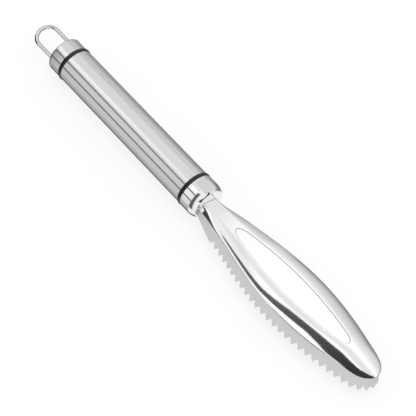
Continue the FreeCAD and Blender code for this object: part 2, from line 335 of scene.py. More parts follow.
crease_plan = horseshoe([
    (FACE_X - CURVE_START, NECK_WIDTH / 2),
    (FACE_X, NECK_WIDTH / 2),
    (FACE_X + NECK_FLARE_X, NECK_FLARE_WIDTH / 2),
], CREASE_STATIONS, HEAD_LENGTH, HEAD_WIDTH)
top_plan = horseshoe([
    (FACE_X - CURVE_START, NECK_TOP_WIDTH / 2),
    (FACE_X, NECK_TOP_WIDTH / 2),
    (FACE_X + NECK_FLARE_X, NECK_TOP_WIDTH / 2),
], TOP_STATIONS, TOP_LENGTH, TOP_WIDTH)
knots = np.concatenate([[0], np.cumsum(np.linalg.norm(np.diff(crease_plan, axis=0), axis=1))])
print("each outline goes through", len(knots), "stations")

# %% [markdown]
# Polished steel shows every kink of a curve as a kink in its reflections. So the outlines are not
# straight runs between stations, but cubic curves that turn evenly from one to the next, as a spline
# in a drawing program does. Their knots are the distances between the stations of the crease, so one
# place on the knots is the same place round the head for each outline.

# %% Smooth curves through the stations
def end_slope(places, values):
    """Slope at the first place of the cubic through four points."""
    shifted = places - places[0]
    return np.linalg.solve(np.vander(shifted, 4, increasing=True), values)[1]


def slopes(points):
    """Slopes that make a cubic curve through the stations smooth in direction and in curvature."""
    count = len(knots)
    gaps = np.diff(knots)
    steps = np.diff(points, axis=0) / gaps[:, None]
    matrix = np.eye(count)
    right = np.zeros_like(points)
    right[0] = end_slope(knots[:4], points[:4])
    right[-1] = end_slope(knots[:-5:-1], points[:-5:-1])
    for i in range(1, count - 1):
        matrix[i, i - 1:i + 2] = gaps[i], 2 * (gaps[i] + gaps[i - 1]), gaps[i - 1]
        right[i] = 3 * (gaps[i] * steps[i - 1] + gaps[i - 1] * steps[i])
    return np.linalg.solve(matrix, right)


def cubic(share, start, end, start_slope, end_slope):
    """The place at a share of the way along a cubic curve, from its ends and its slopes there."""
    return (
        start * (1 + 2 * share) * (1 - share) ** 2 + start_slope * share * (1 - share) ** 2
        + end * share ** 2 * (3 - 2 * share) - end_slope * share ** 2 * (1 - share))


def along_curve(points, where):
    """Points on the smooth curve through the stations, at the given places along its knots."""
    slope = slopes(points)
    piece = np.clip(np.searchsorted(knots, where) - 1, 0, len(knots) - 2)
    width = np.diff(knots)[piece]
    share = ((where - knots[piece]) / width)[:, None]
    width = width[:, None]
    return cubic(share, points[piece], points[piece + 1], slope[piece] * width, slope[piece + 1] * width)


def widened(points, distance):
    """The stations moved outwards in plan, or inwards where the distance is below zero."""
    slope = slopes(points)
    out = np.stack([slope[:, 1], -slope[:, 0]], axis=1)
    return points + out / np.linalg.norm(out, axis=1)[:, None] * distance


print("the crease is", round(knots[-1], 1), "mm long round the head, from knot to knot")

# %% [markdown]
# ## Heights, and where the columns of the mesh go
#
# The crease falls away along the neck, and the flat top rises slightly towards the tip. The mesh has a
# column of points at each place round the head. Along the skirt the columns are spaced by the teeth:
# each tooth has a column at both ends of its narrow land and one at the bottom of the V beside it, so
# that every corner of a tooth is a real corner. Near the ferrule the skirt's edge is plain, and slopes
# up to the neck.

# %% Teeth and columns
CREASE_Z = 1.0
CREASE_DROP = 2.4
CREASE_DROP_LENGTH = 24.0
TOP_Z_AT_NECK = 2.05
TOP_SLOPE = math.tan(math.radians(0.9))
CREASE_STEP = 0.5
FLARE = math.radians(15.5)
TOOTH_TIP_Z = -5.7
NECK_UNDERSIDE_Z = -4.0
TOOTH_COUNT = 27
TOOTH_PITCH = 3.85
TOOTH_DEPTH = 2.4
TOOTH_LAND = 0.3
SLOPE_PARTS = 4
PLAIN_PARTS = 64
FINE_POINTS = 8001


def crease_z(x):
    return CREASE_Z - CREASE_DROP * (np.maximum(0, FACE_X + CREASE_DROP_LENGTH - x) / CREASE_DROP_LENGTH) ** 2


def top_z(x):
    return TOP_Z_AT_NECK + TOP_SLOPE * (x - FACE_X)


def skirt_offset(z, depth):
    """How far outside the crease the skirt lies at a height, at a depth inside its surface."""
    return math.tan(FLARE) * (CREASE_Z - z) - CREASE_STEP - depth / math.cos(FLARE)


fine = np.linspace(0, knots[-1], FINE_POINTS)
rear_part = fine[:FINE_POINTS // 4]
rear_x = along_curve(crease_plan, rear_part)[:, 0]
tooth_line = along_curve(widened(crease_plan, skirt_offset(TOOTH_TIP_Z, 0)), fine)
travelled = np.concatenate([[0], np.cumsum(np.linalg.norm(np.diff(tooth_line, axis=0), axis=1))])
middle = travelled[-1] / 2

# Each column is its distance from the tip along the tips of the teeth, and how deep the V is there
half_mouth = (TOOTH_PITCH - TOOTH_LAND) / 2
half_columns = [(0.0, 0.0), (TOOTH_LAND / 2, 0.0)]
for number in range(TOOTH_COUNT):
    notch_middle = (number + 0.5) * TOOTH_PITCH
    for part in range(1, 2 * SLOPE_PARTS + 1):
        share = part / SLOPE_PARTS - 1
        half_columns.append((notch_middle + share * half_mouth, (1 - abs(share)) * TOOTH_DEPTH))
    half_columns.append((notch_middle + half_mouth + TOOTH_LAND, 0.0))
root_place = np.interp(ROOT_X, rear_x, rear_part)
root_distance = middle - np.interp(root_place, fine, travelled)
plain_start = half_columns[-1][0]
for part in range(1, PLAIN_PARTS + 1):
    half_columns.append((plain_start + (root_distance - plain_start) * part / PLAIN_PARTS, 0.0))

near_half = half_columns[::-1]
far_half = half_columns[1:]
distances = [middle - distance for distance, notch in near_half]
distances += [middle + distance for distance, notch in far_half]
notch_depths = np.array([notch for distance, notch in near_half + far_half])
places = np.interp(distances, travelled, fine)
column_count = len(places)
print("the mesh of the head has", column_count, "columns, and", 2 * TOOTH_COUNT + 1, "teeth")

# %% [markdown]
# ## The rows of the head
#
# Rows run round the head from the flat top outwards: down the curved shell to the crease, across the
# narrow step under it, down the flared skirt to the teeth, across the thickness of the sheet, and back
# up inside. The shell turns down with a fuller curve than a circle, which gives the soft, broad
# shoulder that catches the light.

# %% Rows
SHELL_FULLNESS = 1.25
SHELL_ROWS = 40
INSIDE_ROWS = 16
BORDER = 0.35
INSIDE_LOWEST_Z = TOOTH_TIP_Z - 1
EDGE_ROUNDS = 3
tooth_line_x = along_curve(widened(crease_plan, skirt_offset(TOOTH_TIP_Z, 0)), places)[:, 0]


def at_height(points, height):
    return np.concatenate([points, np.broadcast_to(height, (len(points),))[:, None]], axis=1)


def shell_rows(depth, count):
    """Rows of the shell from the flat top down to its foot at the crease."""
    foot_plan = along_curve(widened(crease_plan, -depth), places)
    head_plan = along_curve(top_plan, places)
    foot = at_height(foot_plan, crease_z(foot_plan[:, 0]))
    head = at_height(head_plan, top_z(head_plan[:, 0]) - depth)
    rows = []
    for angle in np.radians(np.linspace(90, 0, count + 1)):
        inward = 1 - abs(math.cos(angle)) ** SHELL_FULLNESS
        upward = math.sin(angle) ** SHELL_FULLNESS
        rows.append(foot + (head - foot) * np.array([inward, inward, upward]))
    return rows


def skirt_rows(depth, lowest_z, shares):
    """Rows of the skirt at the given shares of the way from the crease down to the cut edge."""
    foot_plan = along_curve(widened(crease_plan, skirt_offset(lowest_z, depth)), places)
    head_plan = along_curve(widened(crease_plan, skirt_offset(CREASE_Z, depth)), places)
    foot = at_height(foot_plan, lowest_z)
    head = at_height(head_plan, crease_z(head_plan[:, 0]))
    edge_z = lower_edge_z(foot, head)
    rows = []
    for share in shares:
        z = head[:, 2] + (edge_z - head[:, 2]) * share
        part = ((z - lowest_z) / (head[:, 2] - lowest_z))[:, None]
        rows.append(foot + (head - foot) * part)
    return rows


def lower_edge_z(foot, head):
    """Height of the skirt's cut edge: the teeth, then the plain edge that slopes up to the neck.

    The flare moves the edge along the head as its height changes, so both are found in a few rounds.
    """
    last_x = tooth_line_x[PLAIN_PARTS]
    slope = (NECK_UNDERSIDE_Z - TOOTH_TIP_Z) / (FACE_X - last_x)
    x = foot[:, 0]
    for attempt in range(EDGE_ROUNDS):
        plain = np.clip(TOOTH_TIP_Z + slope * (x - last_x), TOOTH_TIP_Z, NECK_UNDERSIDE_Z)
        part = (plain - foot[:, 2]) / (head[:, 2] - foot[:, 2])
        x = foot[:, 0] + (head[:, 0] - foot[:, 0]) * part
    return np.maximum(plain, TOOTH_TIP_Z + notch_depths)


def inset_top(depth, distance):
    plan = along_curve(widened(top_plan, -distance), places)
    return at_height(plan, top_z(plan[:, 0]) - depth)


SKIRT_SHARES = [0, 0.12, 0.3, 0.5, 0.7, 0.86, 1]
rows = [inset_top(0, BORDER)]
rows += shell_rows(0, SHELL_ROWS)
rows += skirt_rows(0, TOOTH_TIP_Z, SKIRT_SHARES)
outside_row_count = len(rows)
rows += skirt_rows(SHEET, INSIDE_LOWEST_Z, SKIRT_SHARES)[::-1]
rows += shell_rows(SHEET, INSIDE_ROWS)[::-1]
rows += [inset_top(SHEET, BORDER)]
for row in rows:
    row[0, 0] = row[-1, 0] = ROOT_X
print("the head has", len(rows), "rows,", outside_row_count, "of them outside")

# %% [markdown]
# ## The coined panel
#
# A second leaf is coined 0.12 mm deep into the flat top. Its outline is a closed smooth curve. The step down
# to it is drawn a little slanted, since the edge of a coined area is never quite upright, and with painted
# shade on it, it shows as a thin line, which is how the eye finds the panel.

# %% Panel outline
PANEL_START = 18.4
PANEL_LENGTH = 73.5
PANEL_WIDTH = 13.7
PANEL_DEPTH = 0.12
PANEL_SLANT = 0.25
PANEL_STATIONS = [
    (0, 0), (0.02, 0.31), (0.06, 0.48), (0.18, 0.715), (0.48, 1.0),
    (0.73, 0.845), (0.93, 0.496), (0.985, 0.26), (1, 0),
]
PANEL_PARTS = 24


def panel_outline():
    """Closed smooth curve round the panel, as X and Y in millimetres."""
    start = FACE_X + PANEL_START
    half = [(start + along * PANEL_LENGTH, across * PANEL_WIDTH / 2) for along, across in PANEL_STATIONS]
    ring = np.array([(x, -y) for x, y in half] + [(x, y) for x, y in half[-2:0:-1]])
    count = len(ring)
    gaps = np.linalg.norm(np.roll(ring, -1, axis=0) - ring, axis=1)
    steps = (np.roll(ring, -1, axis=0) - ring) / gaps[:, None]
    matrix = np.zeros((count, count))
    right = np.zeros_like(ring)
    for i in range(count):
        before, after = gaps[i - 1], gaps[i]
        matrix[i, i - 1] = after
        matrix[i, i] = 2 * (before + after)
        matrix[i, (i + 1) % count] = before
        right[i] = 3 * (after * steps[i - 1] + before * steps[i])
    slope = np.linalg.solve(matrix, right)
    outline = []
    for i in range(count):
        j = (i + 1) % count
        for part in range(PANEL_PARTS):
            share = part / PANEL_PARTS
            outline.append(cubic(share, ring[i], ring[j], slope[i] * gaps[i], slope[j] * gaps[i]))
    return np.array(outline)


panel_edge = panel_outline()
tangent = np.roll(panel_edge, -1, axis=0) - np.roll(panel_edge, 1, axis=0)
inwards = np.stack([-tangent[:, 1], tangent[:, 0]], axis=1)
inwards /= np.linalg.norm(inwards, axis=1)[:, None]
panel_floor = panel_edge + inwards * PANEL_SLANT
panel_rim = at_height(panel_edge, top_z(panel_edge[:, 0]))
panel_bed = at_height(panel_floor, top_z(panel_floor[:, 0]) - PANEL_DEPTH)
print("the panel has", len(panel_edge), "points round it")

# %% [markdown]
# ## The head as one closed mesh
#
# The rows become a band of four-sided faces. The flat top between the band and the panel, the panel's
# bed, the flat underside of the top and the rear end inside the ferrule are each filled in edit mode,
# from the edges that bound them.

# %% Points and faces of the band
points = [tuple(point) for row in rows for point in row]
faces = []
for row in range(len(rows) - 1):
    for column in range(column_count - 1):
        corner = row * column_count + column
        faces.append((corner, corner + 1, corner + column_count + 1, corner + column_count))
first_rim = len(points)
points += [tuple(point) for point in panel_rim]
first_bed = len(points)
points += [tuple(point) for point in panel_bed]
panel_count = len(panel_rim)
for i in range(panel_count):
    j = (i + 1) % panel_count
    faces.append((first_rim + i, first_rim + j, first_bed + j, first_bed + i))
first_inside = (len(rows) - 1) * column_count
joins = [(0, column_count - 1), (first_inside, first_inside + column_count - 1)]
print("the band and the panel's step have", len(faces), "faces")


# %% Build the head
def new_piece(name, points, edges, faces):
    """A new object from points in metres, which becomes the active one."""
    mesh = bpy.data.meshes.new(name)
    mesh.from_pydata(points, edges, faces)
    piece = bpy.data.objects.new(name, mesh)
    bpy.context.collection.objects.link(piece)
    bpy.ops.object.select_all(action="DESELECT")
    bpy.context.view_layer.objects.active = piece
    piece.select_set(True)
    return piece


scaled = [(x * MM, y * MM, (z + AXIS_Z) * MM) for x, y, z in points]
head = new_piece("head", scaled, joins, faces)
head_mesh = head.data


def fill_between(vertex_groups):
    """Fill the flat area bounded by the edges that join the given vertices."""
    bpy.ops.object.mode_set(mode="EDIT")
    bpy.ops.mesh.select_mode(type="VERT")
    bpy.ops.mesh.select_all(action="DESELECT")
    bpy.ops.object.mode_set(mode="OBJECT")
    chosen = set(vertex_groups)
    for vertex in head_mesh.vertices:
        vertex.select = vertex.index in chosen
    for edge in head_mesh.edges:
        edge.select = edge.vertices[0] in chosen and edge.vertices[1] in chosen
    bpy.ops.object.mode_set(mode="EDIT")
    before = len(bmesh.from_edit_mesh(head_mesh).faces)
    bpy.ops.mesh.fill(use_beauty=True)
    added = len(bmesh.from_edit_mesh(head_mesh).faces) - before
    bpy.ops.object.mode_set(mode="OBJECT")
    return added


top_loop = list(range(column_count))
under_loop = list(range(first_inside, first_inside + column_count))
rim_loop = list(range(first_rim, first_bed))
bed_loop = list(range(first_bed, first_bed + panel_count))
end_loop = [row * column_count for row in range(len(rows))]
end_loop += [row * column_count + column_count - 1 for row in range(len(rows))]
for loop_points in (top_loop + rim_loop, bed_loop, under_loop, end_loop):
    print("filled with", fill_between(loop_points), "faces")

# %% [markdown]
# A pressed sheet is smooth on its curved sides and sharp where it is creased, coined or cut. So only
# faces that meet at less than 24 degrees are shaded as one surface.

# %% Finish the head
head = finish_piece("pressed_head", smooth_below_deg=24)
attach(head, "root")
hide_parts("scaler_head")
closed_check = bmesh.new()
closed_check.from_mesh(head.data)
print("open edges in the head:", sum(1 for edge in closed_check.edges if not edge.is_manifold))
closed_check.free()
print("the head has", len(head.data.polygons), "faces")

# %% [markdown]
# ## The ferrule
#
# The collar between the handle and the head is turned with a bulging rim and a flat face, and then
# milled with a pocket that takes the neck. The radius of the rim follows from its length and its fall.

# %% Turned collar
FERRULE_DIAMETER = 18.3
FERRULE_SPIGOT_LENGTH = 12.0
FERRULE_RIM_LENGTH = 4.0
FERRULE_FACE_DIAMETER = 15.8
RIM_PARTS = 20
rim_fall = (FERRULE_DIAMETER - FERRULE_FACE_DIAMETER) / 2
rim_radius = (FERRULE_RIM_LENGTH ** 2 + rim_fall ** 2) / (2 * rim_fall)
rim_deg = math.degrees(math.asin(FERRULE_RIM_LENGTH / rim_radius))
rim_centre = (FACE_X - FERRULE_RIM_LENGTH, FERRULE_DIAMETER / 2 - rim_radius)
ferrule_spigot = spigot(FERRULE_REAR_X, -1, RING_WIDTH + FERRULE_SPIGOT_LENGTH, FERRULE_REAR_X)
ferrule = turned("turned_collar", ferrule_spigot + [
    (FERRULE_REAR_X, FERRULE_DIAMETER / 2 - EDGE_BREAK),
    (FERRULE_REAR_X + EDGE_BREAK, FERRULE_DIAMETER / 2),
] + rounded(rim_centre, rim_radius, 90, 90 - rim_deg, count=RIM_PARTS) + [
    (FACE_X, 0),
], closed=False)
print("the rim is an arc of", round(rim_radius, 2), "mm radius over", round(rim_deg, 1), "degrees")

# %% [markdown]
# The pocket's cutter is the head's own outside with 0.2 mm of room round it, so that only a thin dark
# line shows between the two pieces. It is a row of closed sections along the neck, joined by four-sided
# faces. Its last section lies 1 mm in front of the collar's face, so that the pocket is open there.

# %% Sections of the pocket
POCKET_DEPTH = 7.5
POCKET_CLEARANCE = 0.2
POCKET_EXCESS = 1.0
POCKET_SECTIONS = 14
POCKET_ROWS = 14
pocket_x = np.linspace(FACE_X - POCKET_DEPTH, FACE_X + POCKET_EXCESS, POCKET_SECTIONS)
pocket_floor_z = NECK_UNDERSIDE_Z - POCKET_CLEARANCE
neck_places = np.interp(pocket_x, rear_x, rear_part)
pocket_plans = [
    widened(crease_plan, POCKET_CLEARANCE),
    top_plan,
    widened(crease_plan, skirt_offset(TOOTH_TIP_Z, -POCKET_CLEARANCE)),
    widened(crease_plan, skirt_offset(CREASE_Z, -POCKET_CLEARANCE)),
]


def pocket_section(foot, crown, skirt_foot, skirt_head):
    """Closed section of the cutter across the neck, as pairs of y and z, from the side's lower corner."""
    ledge_z = crease_z(skirt_head[0]) - POCKET_CLEARANCE
    crown_z = top_z(crown[0]) + POCKET_CLEARANCE
    low_share = (pocket_floor_z - TOOTH_TIP_Z) / (ledge_z - TOOTH_TIP_Z)
    low_y = skirt_foot[1] + (skirt_head[1] - skirt_foot[1]) * low_share
    section = [(low_y, pocket_floor_z), (skirt_head[1], ledge_z)]
    for angle in np.radians(np.linspace(0, 90, POCKET_ROWS)):
        inward = 1 - abs(math.cos(angle)) ** SHELL_FULLNESS
        upward = math.sin(angle) ** SHELL_FULLNESS
        section.append((foot[1] + (crown[1] - foot[1]) * inward, ledge_z + (crown_z - ledge_z) * upward))
    return section + [(-y, z) for y, z in reversed(section)]


cutter_points = []
for corners in zip(*[along_curve(plan, neck_places) for plan in pocket_plans]):
    section = pocket_section(*corners)
    cutter_points += [(corners[0][0] * MM, y * MM, (z + AXIS_Z) * MM) for y, z in section]
print("the cutter has", POCKET_SECTIONS, "sections of", len(section), "points")

# %% Pocket
ring_size = len(section)
last_ring = (POCKET_SECTIONS - 1) * ring_size
cutter_faces = []
for this_ring in range(0, last_ring, ring_size):
    next_ring = this_ring + ring_size
    for j in range(ring_size):
        k = (j + 1) % ring_size
        cutter_faces.append((this_ring + j, this_ring + k, next_ring + k, next_ring + j))
cutter_faces.append(tuple(range(ring_size)))
cutter_faces.append(tuple(reversed(range(last_ring, last_ring + ring_size))))
cutter = new_piece("pocket cutter", cutter_points, [], cutter_faces)
finish_piece("pocket cutter")
ferrule = carve(ferrule, cutter, "turned_collar")
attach(ferrule, "root")
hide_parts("ferrule")
print("the ferrule has", len(ferrule.data.polygons), "faces")

# %% [markdown]
# ## Finishes
#
# Every finish is built from nodes, at the scale of the real thing, as waves per millimetre. Colours are
# written as they look on a screen, and one function turns them into the renderer's linear values.

# %% Material helpers
PER_MM = 1 / MM


def linear(hex_colour):
    """A colour as seen on a screen, turned into linear light."""
    values = [int(hex_colour[i:i + 2], 16) / 255 for i in (0, 2, 4)]
    return [v / 12.92 if v <= 0.04045 else ((v + 0.055) / 1.055) ** 2.4 for v in values] + [1]


def add_node(tree, kind, links=None, **values):
    """Add a node, set its properties and constant inputs, and link other nodes into it."""
    node = tree.nodes.new(kind)
    for name, value in values.items():
        if hasattr(node, name):
            setattr(node, name, value)
        else:
            node.inputs[name.replace("_", " ")].default_value = value
    for socket, source in (links or {}).items():
        tree.links.new(source, node.inputs[socket])
    return node


def new_material(name):
    """An empty material, with its node tree and its output node."""
    material = bpy.data.materials.new(name)
    material.use_nodes = True
    tree = material.node_tree
    tree.nodes.clear()
    output = tree.nodes.new("ShaderNodeOutputMaterial")
    return material, tree, output


def set_shader(tree, output, shader):
    """Let the shader node make the surface."""
    tree.links.new(shader.outputs[0], output.inputs["Surface"])


def fixed_noise(tree, scale):
    """Noise that is fixed to the piece, with its scale in waves per metre."""
    place = add_node(tree, "ShaderNodeTexCoord").outputs["Object"]
    return add_node(tree, "ShaderNodeTexNoise", {"Vector": place}, Scale=scale, Detail=2.0).outputs["Fac"]


print("a screen's middle grey is", round(linear("808080")[0], 3), "in linear light")

# %% [markdown]
# ### Brushed steel
#
# The belt runs round the tube, so its scratches do too. They spread a reflection along the handle and
# leave it sharp round the handle, which draws the long straight stripes. The bump is a noise squeezed
# along the handle, with scratches about 0.1 mm wide.

# %% Brushed steel
SCRATCHES_ALONG = 9 * PER_MM
SCRATCHES_ROUND = 0.25 * PER_MM
SCRATCH_DEPTH = 0.005 * MM


def brushed_steel(name, colour, roughness, scratch):
    """Steel with scratches round the X axis, which also tint it faintly."""
    material, tree, output = new_material(name)
    place = add_node(tree, "ShaderNodeTexCoord").outputs["Object"]
    scratches = (SCRATCHES_ALONG, SCRATCHES_ROUND, SCRATCHES_ROUND)
    squeeze = add_node(tree, "ShaderNodeMapping", {"Vector": place}, Scale=scratches)
    noise = add_node(tree, "ShaderNodeTexNoise", {"Vector": squeeze.outputs[0]}, Scale=1.0, Detail=3.0)
    grain = noise.outputs["Fac"]
    tint = add_node(tree, "ShaderNodeMapRange", {"Value": grain}, To_Min=0.96, To_Max=1.04)
    base = add_node(tree, "ShaderNodeVectorMath", {1: tint.outputs[0]}, operation="MULTIPLY")
    base.inputs[0].default_value = linear(colour)[:3]
    bump = add_node(tree, "ShaderNodeBump", {"Height": grain}, Strength=scratch, Distance=SCRATCH_DEPTH)
    around = add_node(tree, "ShaderNodeTangent", direction_type="RADIAL", axis="X")
    steel = add_node(
        tree, "ShaderNodeBsdfPrincipled",
        {"Base Color": base.outputs[0], "Normal": bump.outputs[0], "Tangent": around.outputs[0]},
        Metallic=1.0, Roughness=roughness, Anisotropic=0.8, Anisotropic_Rotation=0.25)
    set_shader(tree, output, steel)
    return material


tube_steel = brushed_steel("brushed stainless steel", "DADADB", roughness=0.17, scratch=0.15)
tube.data.materials.append(tube_steel)
cap.data.materials.append(tube_steel)
print("tube and cap:", tube_steel.name)

# %% [markdown]
# ### Polished steel, matte pressed steel, wire and black plastic
#
# The shell and the ferrule are buffed to a mirror, whose gloss varies by a fifth in soft patches, as
# handling leaves it. The skirt is left as the press and an acid dip leave it, matte and light grey with
# a fine grain, so it shows its own colour and no reflections. The wire is drawn bright. The rings are
# black plastic with a slight gloss and the fine grain of a moulded surface.

# %% Polished steel
WEAR_PATCHES = 0.9 * PER_MM


def polished_steel(name, colour, roughness):
    """Mirror steel, a little rougher in some soft patches than in others."""
    material, tree, output = new_material(name)
    rough = add_node(
        tree, "ShaderNodeMapRange", {"Value": fixed_noise(tree, WEAR_PATCHES)},
        To_Min=roughness * 0.8, To_Max=roughness * 1.2)
    steel = add_node(
        tree, "ShaderNodeBsdfPrincipled", {"Roughness": rough.outputs[0]},
        Base_Color=linear(colour), Metallic=1.0)
    set_shader(tree, output, steel)
    return material


shell_steel = polished_steel("polished pressed steel", "F5F5F6", roughness=0.09)
ferrule_steel = polished_steel("polished turned steel", "E2E2E3", roughness=0.08)
wire_steel = polished_steel("drawn steel wire", "D2D2D4", roughness=0.12)
ferrule.data.materials.append(ferrule_steel)
loop.data.materials.append(wire_steel)
print("polished pieces:", ferrule.name, "and", loop.name)

# %% Matte steel and black plastic
PRESS_GRAIN = 4 * PER_MM
PRESS_GRAIN_DEPTH = 0.03 * MM
MOULD_GRAIN = 2.5 * PER_MM
MOULD_GRAIN_DEPTH = 0.02 * MM


def matte_steel(name, colour):
    """Steel as the press and the acid dip leave it; given a dark colour, it also serves as painted shade."""
    material, tree, output = new_material(name)
    grain = fixed_noise(tree, PRESS_GRAIN)
    bump = add_node(tree, "ShaderNodeBump", {"Height": grain}, Strength=0.2, Distance=PRESS_GRAIN_DEPTH)
    steel = add_node(
        tree, "ShaderNodeBsdfPrincipled", {"Normal": bump.outputs[0]},
        Base_Color=linear(colour), Metallic=0.2, Roughness=0.65)
    set_shader(tree, output, steel)
    return material


def black_plastic(name, colour):
    """Moulded plastic with a slight gloss and a fine grain."""
    material, tree, output = new_material(name)
    grain = fixed_noise(tree, MOULD_GRAIN)
    rough = add_node(tree, "ShaderNodeMapRange", {"Value": grain}, To_Min=0.24, To_Max=0.36)
    bump = add_node(tree, "ShaderNodeBump", {"Height": grain}, Strength=0.15, Distance=MOULD_GRAIN_DEPTH)
    plastic = add_node(
        tree, "ShaderNodeBsdfPrincipled", {"Roughness": rough.outputs[0], "Normal": bump.outputs[0]},
        Base_Color=linear(colour))
    set_shader(tree, output, plastic)
    return material


skirt_steel = matte_steel("matte pressed steel", "CDCDCF")
# painted shade: a dark grey on the coined step's wall, in place of the dark that the wall reflects
painted_step_shade = matte_steel("painted shade on the coined step", "5A5A5C")
ring_black = black_plastic("black plastic", "0B0B0C")
rear_ring.data.materials.append(ring_black)
front_ring.data.materials.append(ring_black)
print("rings:", ring_black.name)

# %% [markdown]
# The head carries three finishes, face by face. Everything below the crease and every face that looks
# straight down is matte. The step of the coined panel gets a dark grey, which is painted shade: it stands in
# for the dark that the step's wall reflects, and so it draws the thin line round the panel. The rest is
# polished.

# %% Finishes of the head
MATTE_INDEX = 1
STEP_SHADE_INDEX = 2
DOWNWARD = -0.9
CREASE_MARGIN = 0.002
STEP_REACH = 0.03
for finish in (shell_steel, skirt_steel, painted_step_shade):
    head.data.materials.append(finish)
panel_ring = (panel_edge + panel_floor) / 2
step_centres = (panel_ring + np.roll(panel_ring, -1, axis=0)) / 2
matte_count = 0
step_count = 0
for face in head.data.polygons:
    centre = face.center / MM
    height = centre.z - AXIS_Z
    from_step = np.min(np.linalg.norm(step_centres - (centre.x, centre.y), axis=1))
    if height < crease_z(centre.x) + CREASE_MARGIN or face.normal.z < DOWNWARD:
        face.material_index = MATTE_INDEX
        matte_count += 1
    # the faces of the coined step's wall get the painted shade
    elif from_step < STEP_REACH and top_z(centre.x) - height > PANEL_DEPTH / 3:
        face.material_index = STEP_SHADE_INDEX
        step_count += 1
print("faces of the coined step:", step_count, "of", panel_count)
print("matte faces:", matte_count, "of", len(head.data.polygons))

# %% [markdown]
# ## Floor, light and camera
#
# The photo is a shop photo on pure white. The floor is a white table top that takes the soft shadow, and
# to the camera it also glows by itself, so that it comes out as white as the photo's. Mirrors don't see
# it, because the studio below draws its own table into them.

# %% Floor
FLOOR_SIZE = 6.0
FLOOR_WHITE = 0.95
FLOOR_GLOW_SHARE = 0.8
bpy.ops.object.select_all(action="DESELECT")
bpy.ops.mesh.primitive_plane_add(size=FLOOR_SIZE, location=(0, 0, 0))
floor = bpy.context.object
floor.name = "floor"
floor_material, floor_tree, floor_output = new_material("white table")
table_top = add_node(floor_tree, "ShaderNodeBsdfDiffuse", Color=(FLOOR_WHITE, FLOOR_WHITE, FLOOR_WHITE, 1))
paper = add_node(floor_tree, "ShaderNodeEmission", Strength=1.0)
ray = add_node(floor_tree, "ShaderNodeLightPath")
seen = add_node(floor_tree, "ShaderNodeMath", {0: ray.outputs["Is Camera Ray"]}, operation="MULTIPLY")
seen.inputs[1].default_value = FLOOR_GLOW_SHARE
table_mix = add_node(
    floor_tree, "ShaderNodeMixShader", {0: seen.outputs[0], 1: table_top.outputs[0], 2: paper.outputs[0]})
set_shader(floor_tree, floor_output, table_mix)
floor.visible_glossy = False
floor.data.materials.append(floor_material)
print("the floor is", FLOOR_SIZE, "m wide")

# %% [markdown]
# Polished steel has no look of its own, only that of the room. So the world is plain white for all other
# light, and mirrors see a studio instead. The studio is a pattern on the directions in which a mirror
# can look: along the handle (X), across it (Y, negative on the left, the side nearer to the camera) and
# up (Z). Each part of it is a mask, which is 1 in some range of directions and fades out softly.

# %% Helpers for the studio
world = bpy.data.worlds.new("studio")
bpy.context.scene.world = world
world.use_nodes = True
sky = world.node_tree
sky.nodes.clear()
direction = add_node(sky, "ShaderNodeTexCoord").outputs["Generated"]
split = add_node(sky, "ShaderNodeSeparateXYZ", {0: direction})
along, across, up = split.outputs["X"], split.outputs["Y"], split.outputs["Z"]


def ramp(source, low, high, start, end):
    """Smooth step from one value to another between two limits of the source."""
    return add_node(
        sky, "ShaderNodeMapRange", {"Value": source}, interpolation_type="SMOOTHSTEP",
        From_Min=low, From_Max=high, To_Min=start, To_Max=end).outputs[0]


def over(source, low, high):
    """A mask: 0 below the lower limit of the source and 1 above the upper one."""
    return ramp(source, low, high, 0.0, 1.0)


def under(source, low, high):
    """A mask: 1 below the lower limit of the source and 0 above the upper one."""
    return ramp(source, low, high, 1.0, 0.0)


def combine(operation, first, second):
    """Two numbers or node outputs, put together by a math node."""
    node = add_node(sky, "ShaderNodeMath", operation=operation)
    for socket, source in enumerate((first, second)):
        if isinstance(source, (int, float)):
            node.inputs[socket].default_value = source
        else:
            sky.links.new(source, node.inputs[socket])
    return node.outputs[0]


def both(first, second):
    """Two masks multiplied: 1 only where both are."""
    return combine("MULTIPLY", first, second)


def blend(first, second, share):
    """The first value where the share is 0 and the second where it is 1."""
    return combine("ADD", first, both(combine("SUBTRACT", second, first), share))


def darken(light, where, amount):
    """The light with the given part of it taken away where the mask is 1."""
    return both(light, combine("SUBTRACT", 1.0, both(where, amount)))


def band(source, low, high, soft):
    """A mask: 1 between two limits of the source and 0 outside them."""
    return both(over(source, low - soft, low), under(source, high, high + soft))


print("so far the studio has", len(sky.nodes), "nodes")

# %% [markdown]
# Left of the handle a mirror sees the grey table, then a white wall. Two thin dark rails along the wall
# draw the dark stripes of the tube, and a bright lamp strip above them draws its highlight. Behind the
# handle the wall is nearly dark below the strip. An upright rail beside the head draws the thin dark
# line along the crease.

# %% Left side of the studio
WALL = 1.08
HIGH_WALL = 0.93
LAMP_STRIP = 1.32
WALL_BY_HEAD = 1.1
LOW_RAIL_DARKNESS = 0.8
HIGH_RAIL_DARKNESS = 0.85
REAR_DARKNESS = 0.94
HEAD_RAIL_DARKNESS = 0.86
low_rail = band(up, -0.24, -0.15, 0.04)
high_rail = band(up, 0.42, 0.47, 0.05)
rear_wall = both(under(up, 0.45, 0.6), under(along, -0.58, -0.5))
rail_by_head = both(under(across, -0.66, -0.56), band(along, -0.28, 0.06, 0.08))
left_light = ramp(up, -0.92, -0.6, 0.5, 0.93)
left_light = blend(left_light, WALL, over(up, -0.2, -0.12))
left_light = blend(left_light, HIGH_WALL, over(up, 0.76, 0.84))
left_light = blend(left_light, LAMP_STRIP, band(up, 0.6, 0.76, 0.04))
left_light = darken(left_light, low_rail, LOW_RAIL_DARKNESS)
left_light = darken(left_light, high_rail, HIGH_RAIL_DARKNESS)
left_light = darken(left_light, rear_wall, REAR_DARKNESS)
left_light = blend(left_light, WALL_BY_HEAD, over(along, -0.34, -0.28))
left_light = darken(left_light, rail_by_head, HEAD_RAIL_DARKNESS)
print("light levels of the wall:", HIGH_WALL, "to", LAMP_STRIP)

